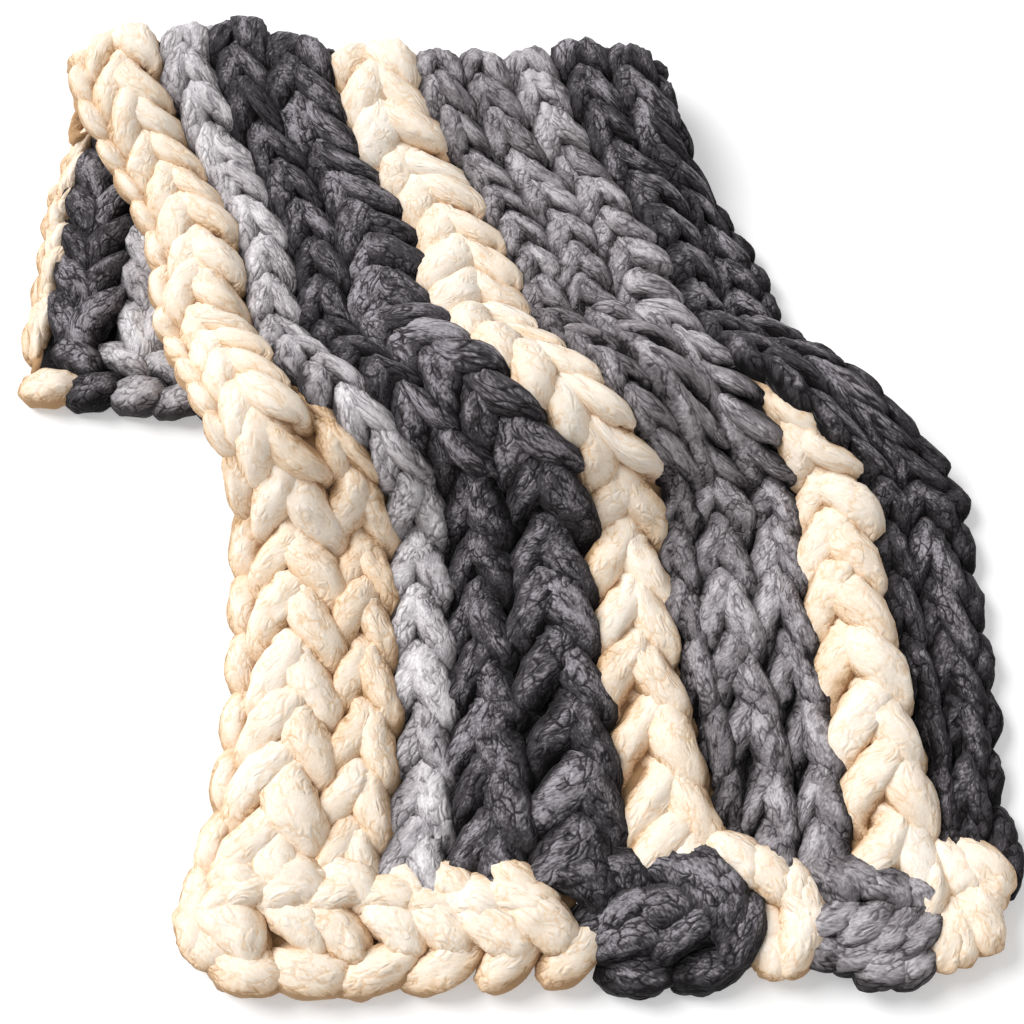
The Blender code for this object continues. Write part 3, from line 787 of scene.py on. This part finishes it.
def yarn_material(name, look):
    """Velvety yarn: puffs parted by creases, mottled and flecked, with painted shade in the creases and the
    depths and a painted highlight on the crests.
    """
    material = bpy.data.materials.new(name)
    material.use_nodes = True
    tree = material.node_tree
    nodes, links = tree.nodes, tree.links
    shader = nodes["Principled BSDF"]
    shader.inputs["Roughness"].default_value = 0.95
    shader.inputs["Sheen Weight"].default_value = look["sheen"]
    shader.inputs["Sheen Roughness"].default_value = 0.5
    shader.inputs["Sheen Tint"].default_value = (*look["tip"], 1.0)
    shader.inputs["Specular IOR Level"].default_value = 0.12

    def node(kind, **settings):
        made = nodes.new(kind)
        for key, value in settings.items():
            setattr(made, key, value)
        return made

    def feed(socket, value):
        if isinstance(value, bpy.types.NodeSocket):
            links.new(value, socket)
        else:
            socket.default_value = value

    def maths(operation, a, b):
        made = node("ShaderNodeMath", operation=operation)
        feed(made.inputs[0], a)
        feed(made.inputs[1], b)
        return made.outputs[0]

    def remap(value, low, high, out_low=0.0, out_high=1.0):
        made = node("ShaderNodeMapRange", interpolation_type="SMOOTHSTEP")
        limits = {"From Min": low, "From Max": high, "To Min": out_low, "To Max": out_high}
        for label, number in limits.items():
            made.inputs[label].default_value = number
        links.new(value, made.inputs["Value"])
        return made.outputs["Result"]

    def stretched(vector, stretch, turn=(0.0, 0.0, 0.0)):
        made = node("ShaderNodeMapping", vector_type="TEXTURE")
        made.inputs["Rotation"].default_value = turn
        made.inputs["Scale"].default_value = (stretch, 1.0, 1.0)
        links.new(vector, made.inputs["Vector"])
        return made.outputs["Vector"]

    def noise(vector, size, detail):
        made = node("ShaderNodeTexNoise")
        made.inputs["Scale"].default_value = 1.0 / size
        made.inputs["Detail"].default_value = detail
        links.new(vector, made.inputs["Vector"])
        return made

    grain = node("ShaderNodeAttribute", attribute_name="grain").outputs["Vector"]
    tone = node("ShaderNodeAttribute", attribute_name="tone").outputs["Fac"]
    height = node("ShaderNodeAttribute", attribute_name="height").outputs["Fac"]

    # The grain is warped a little, so that creases wander.
    warp = node("ShaderNodeVectorMath", operation="SCALE")
    links.new(noise(grain, WANDER_SIZE, 0.0).outputs["Color"], warp.inputs[0])
    warp.inputs["Scale"].default_value = WANDER
    warped = node("ShaderNodeVectorMath", operation="ADD")
    links.new(grain, warped.inputs[0])
    links.new(warp.outputs[0], warped.inputs[1])
    along_yarn = stretched(warped.outputs[0], CREASE_STRETCH)
    cells = node("ShaderNodeTexVoronoi", feature="DISTANCE_TO_EDGE")
    cells.inputs["Scale"].default_value = 1.0 / CREASE_CELL
    links.new(along_yarn, cells.inputs["Vector"])
    edge = cells.outputs["Distance"]
    patches = remap(noise(grain, PATCH_SIZE, 0.0).outputs["Fac"], 0.40, 0.58)
    # Painted shade in the creases: a mask of thin lines along the cell edges, in patches.
    crease_shade = maths("MULTIPLY", remap(edge, 0.0, 0.13, 1.0, 0.0), patches)
    puff = remap(edge, 0.0, 0.32)

    mottling = noise(stretched(grain, MOTTLE_STRETCH), MOTTLE_SIZE, 1.0).outputs["Fac"]
    slanted = stretched(grain, STROKE_STRETCH, STROKE_SLANT)
    strokes = noise(slanted, STROKE_SIZE, 3.0).outputs["Fac"]
    level = maths("MULTIPLY_ADD", tone, TONE_WEIGHT)
    level.node.inputs[2].default_value = BODY_LEVEL
    mottle, fleck = look["mottle"] / 2.0, look["fleck"] / 2.0
    level = maths("ADD", level, remap(mottling, 0.30, 0.70, -mottle, mottle))
    level = maths("ADD", level, remap(strokes, 0.25, 0.75, -fleck, fleck))
    # Painted shade: the yarn is darker in its creases.
    level = maths("SUBTRACT", level, maths("MULTIPLY", crease_shade, look["crease_shade"]))
    # Painted shade in the depths and on flanks that face away, and a painted highlight on the highest
    # crests.
    level = maths("SUBTRACT", level, remap(height, *SHADED_HEIGHTS, look["depth"], -CREST_LIGHT))

    ramp = node("ShaderNodeValToRGB")
    stops = ((0.0, "deep"), (0.30, "shade"), (BODY_LEVEL, "body"), (1.0, "tip"))
    for _ in stops[2:]:
        ramp.color_ramp.elements.new(0.5)
    for element, (place, label) in zip(ramp.color_ramp.elements, stops):
        element.position = place
        element.color = (*look[label], 1.0)
    links.new(level, ramp.inputs["Fac"])
    links.new(ramp.outputs["Color"], shader.inputs["Base Color"])

    relief = maths("MULTIPLY", maths("MULTIPLY", puff, patches), PUFF_RELIEF * look["relief"])
    relief = maths("ADD", relief, maths("MULTIPLY", strokes, PILE_RELIEF * look["relief"]))
    bump = node("ShaderNodeBump")
    bump.inputs["Distance"].default_value = 1.0
    links.new(relief, bump.inputs["Height"])
    links.new(bump.outputs["Normal"], shader.inputs["Normal"])
    return material


MATERIALS = {name: yarn_material(name + "_yarn", look) for name, look in YARN_LOOKS.items()}


# ---- Making the stripes and braids ------------------------------------------------------------
def stripe_rows(stripe, places, random):
    """A stripe's rows as one run of tubes, with the turns of the selvedge at an outer side."""
    first_wale, end_wale = stripe["wales"]
    rows = slice(*stripe["rows"])
    here = places[rows]
    edges = wale_edges(here[:, 0])
    radius = lobe_radius(edges, here[:, 0])
    t = np.linspace(-np.pi, np.pi, SAMPLES_PER_STITCH + 1)
    stretches = []
    for wale in range(first_wale, end_wale):
        steps = t if wale == end_wale - 1 else t[:-1]
        stretches.append(stitch_path(steps, wale, here, edges, random[wale][rows], stripe["face"]))
    if first_wale == 0:
        turn = turn_path(edges[:, 0], -1.0, here, radius[:, 0], stripe["face"])
        stretches.insert(0, tuple(part[:, ::-1] for part in turn))
    if end_wale == len(WALES):
        stretches.append(turn_path(edges[:, -1], 1.0, here, radius[:, -1], stripe["face"]))
    return tuple(np.concatenate(parts, axis=1) for parts in zip(*stretches))


def make_stripes():
    """The rows of every stripe, one tube of yarn for each row, and the ground behind them."""
    rng = np.random.default_rng(STITCH_SEED)
    row_edges = row_borders()
    pitch = np.diff(row_edges)
    row_at = row_edges[:-1] + pitch * (0.5 + ROW_STIR * rng.normal(size=ROWS))
    places = np.stack([row_at, pitch], axis=-1)
    row_edges[[0, -1]] = GROUND_START, LENGTH - GROUND_MARGIN
    random = rng.normal(size=(len(WALES), ROWS, 12)).clip(-2.0, 2.0)
    for number, stripe in enumerate(STRIPES):
        tubes = tube_arrays(*stripe_rows(stripe, places, random), stripe["face"], 10 * number)
        slab = stripe_ground(stripe, row_edges)
        yarn_piece(stripe["name"], stripe["yarn"], [tubes, slab])


def run_lobes(run):
    """The lobes of a run, a line each: across, in, depth, heading, length, radius and bend.

    They are evenly spaced from the first place to the last, on a line that bulges sideways by
    bulge times the sine of the way, and their headings change evenly.
    """
    share = np.linspace(0.0, 1.0, run["lobes"])
    first, last = np.array(run["first"]), np.array(run["last"])
    way = last - first
    right = np.array([way[1], -way[0]]) / max(np.linalg.norm(way), 1e-9)
    bulge = run.get("bulge", 0.0) * np.sin(np.pi * share)
    place = first + way * share[:, None] + right * bulge[:, None]
    heading = run["headings"][0] + (run["headings"][1] - run["headings"][0]) * share
    plain = [np.full(len(share), run[key]) for key in ("length", "radius", "bend")]
    depth = np.full(len(share), run["depth"])
    return np.column_stack([place, depth, heading, *plain])


def near_lobes():
    """All lobes of the near hem, and the yarn of each."""
    lobes = np.concatenate([run_lobes(run) for run in HEM_RUNS])
    yarns = np.repeat([run["yarn"] for run in HEM_RUNS], [run["lobes"] for run in HEM_RUNS])
    return lobes, yarns


def far_lobes():
    """All lobes of the far braid, and the yarn of each."""
    until = np.array([stretch["until"] for stretch in FAR_YARNS])
    names = np.array([stretch["yarn"] for stretch in FAR_YARNS])
    lines, yarns = [], []
    for row in FAR_ROWS:
        place = (np.arange(FAR_LOBES) + 0.5 + row["shift"]).clip(max=FAR_LOBES - 0.1) / FAR_LOBES
        across = FAR_MARGIN + place * (WIDTH - 2.0 * FAR_MARGIN)
        bend = np.copysign(FAR_BEND, -row["heading"])
        plain = (row["in"], row["depth"], row["heading"], FAR_LENGTH, FAR_RADIUS, bend)
        lines.append(np.column_stack([across, *(np.full(FAR_LOBES, value) for value in plain)]))
        yarns.append(names[np.searchsorted(until, place)])
    return np.concatenate(lines), np.concatenate(yarns)


def make_lobes(name, lobes, yarns, end, inward, face, ground, seed):
    """The lobes along an end of the cloth, a piece for each yarn, slightly jumbled.

    end is where that end lies along the cloth, and inward is 1 or -1, the way in from it.
    """
    rng = np.random.default_rng(seed)
    stir = rng.normal(size=(6, len(lobes))).clip(-1.6, 1.6)
    across, inset, depth, heading, length, radius, bend = lobes.T
    across = across + JUMBLE["place"] * stir[0]
    along = end + inward * (inset + JUMBLE["place"] * stir[1])
    turned = (heading + JUMBLE["heading"] * stir[2]) * inward
    length = length * (1.0 + JUMBLE["size"] * stir[3])
    radius = radius * (1.0 + JUMBLE["size"] * stir[4])
    path, girth = lobe_paths(across, along, depth, turned, length, radius, bend * inward)
    path[..., 2] *= face
    tone = np.repeat(JUMBLE["tone"] * stir[5][:, None], LOBE_SAMPLES, axis=1)
    for yarn in sorted(set(yarns)):
        mine = yarns == yarn
        parts = [tube_arrays(path[mine], girth[mine], tone[mine], face, seed)]
        parts += [hem_slab(stretch, face) for stretch in ground if stretch["yarn"] == yarn]
        yarn_piece(name + "_" + yarn, yarn, parts)


def hem_slab(stretch, face):
    """The ground of one yarn's stretch of the near hem."""
    along = np.linspace(*HEM_GROUND_IN, HEM_GROUND_CELLS + 1)
    cells = int(round((stretch["to"] - stretch["from"]) / GROUND_CELL_LENGTH))
    across = np.tile(np.linspace(stretch["from"], stretch["to"], cells + 1), (len(along), 1))
    return slab_arrays(across, along, np.full(across.shape, GROUND_DEPTH), face)


make_stripes()
make_lobes("near_hem", *near_lobes(), NEAR_END, 1.0, 1, HEM_GROUND, HEM_SEED)
make_lobes("far_braid", *far_lobes(), LENGTH, -1.0, -1, (), BRAID_SEED)


# ---- Stage ------------------------------------------------------------------------------------
FLOOR_SIZE, FLOOR_GREY, FLOOR_GLOW = 30.0, 0.70, 0.32
CAMERA_ELEVATION = 65.0  # degrees above the floor, looking along +Y
CAMERA_DISTANCE = 2.47
AIM = (0.148, -0.003, 0.03)  # the place that the camera looks at
PICTURE = 1024.0  # side of the picture, in pixels
AIM_PIXEL = (588.0, 460.0)  # where the place looked at is in the picture
FOCAL_PIXELS = 1746.0  # focal length, in pixels of the picture
SENSOR = 36.0  # the camera's width, in millimetres
SKY_STRENGTH = 0.52
KEY = {"way": (-1.5, 0.8, 1.7), "spread": 35.0, "strength": 3.25}


def make_floor():
    """A wide white floor that glows a little, so that it stays pale under soft light."""
    bpy.ops.mesh.primitive_plane_add(size=FLOOR_SIZE)
    floor = bpy.context.object
    floor.name = "floor"
    material = bpy.data.materials.new("floor_white")
    material.use_nodes = True
    shader = material.node_tree.nodes["Principled BSDF"]
    shader.inputs["Base Color"].default_value = (FLOOR_GREY, FLOOR_GREY, FLOOR_GREY, 1.0)
    shader.inputs["Roughness"].default_value = 0.8
    shader.inputs["Emission Color"].default_value = (1.0, 1.0, 1.0, 1.0)
    shader.inputs["Emission Strength"].default_value = FLOOR_GLOW
    floor.data.materials.append(material)


def aim(obj, target):
    """Turns a camera or light so that its -Z points at the target."""
    way = Vector(target) - obj.location
    obj.rotation_euler = way.to_track_quat("-Z", "Y").to_euler()


def make_camera():
    """A camera high up beyond the near hem; its shift brings the place it looks at to AIM_PIXEL."""
    elevation = np.radians(CAMERA_ELEVATION)
    forward = Vector((0.0, np.cos(elevation), -np.sin(elevation)))
    data = bpy.data.cameras.new("camera")
    data.sensor_width = SENSOR
    data.lens = FOCAL_PIXELS / PICTURE * SENSOR
    data.shift_x = 0.5 - AIM_PIXEL[0] / PICTURE
    data.shift_y = AIM_PIXEL[1] / PICTURE - 0.5
    camera = bpy.data.objects.new("camera", data)
    camera.location = Vector(AIM) - forward * CAMERA_DISTANCE
    bpy.context.scene.collection.objects.link(camera)
    aim(camera, AIM)
    bpy.context.scene.camera = camera


def make_light():
    """White light from all round, and a soft key: KEY has the way to it and its angle in degrees."""
    world = bpy.context.scene.world or bpy.data.worlds.new("world")
    bpy.context.scene.world = world
    world.use_nodes = True
    sky = world.node_tree.nodes["Background"]
    sky.inputs["Color"].default_value = (1.0, 1.0, 1.0, 1.0)
    sky.inputs["Strength"].default_value = SKY_STRENGTH
    data = bpy.data.lights.new("key", "SUN")
    data.angle = np.radians(KEY["spread"])
    data.energy = KEY["strength"]
    light = bpy.data.objects.new("key", data)
    light.location = KEY["way"]
    bpy.context.scene.collection.objects.link(light)
    aim(light, (0.0, 0.0, 0.0))
    bpy.context.scene.view_settings.view_transform = "Standard"


make_floor()
make_camera()
make_light()
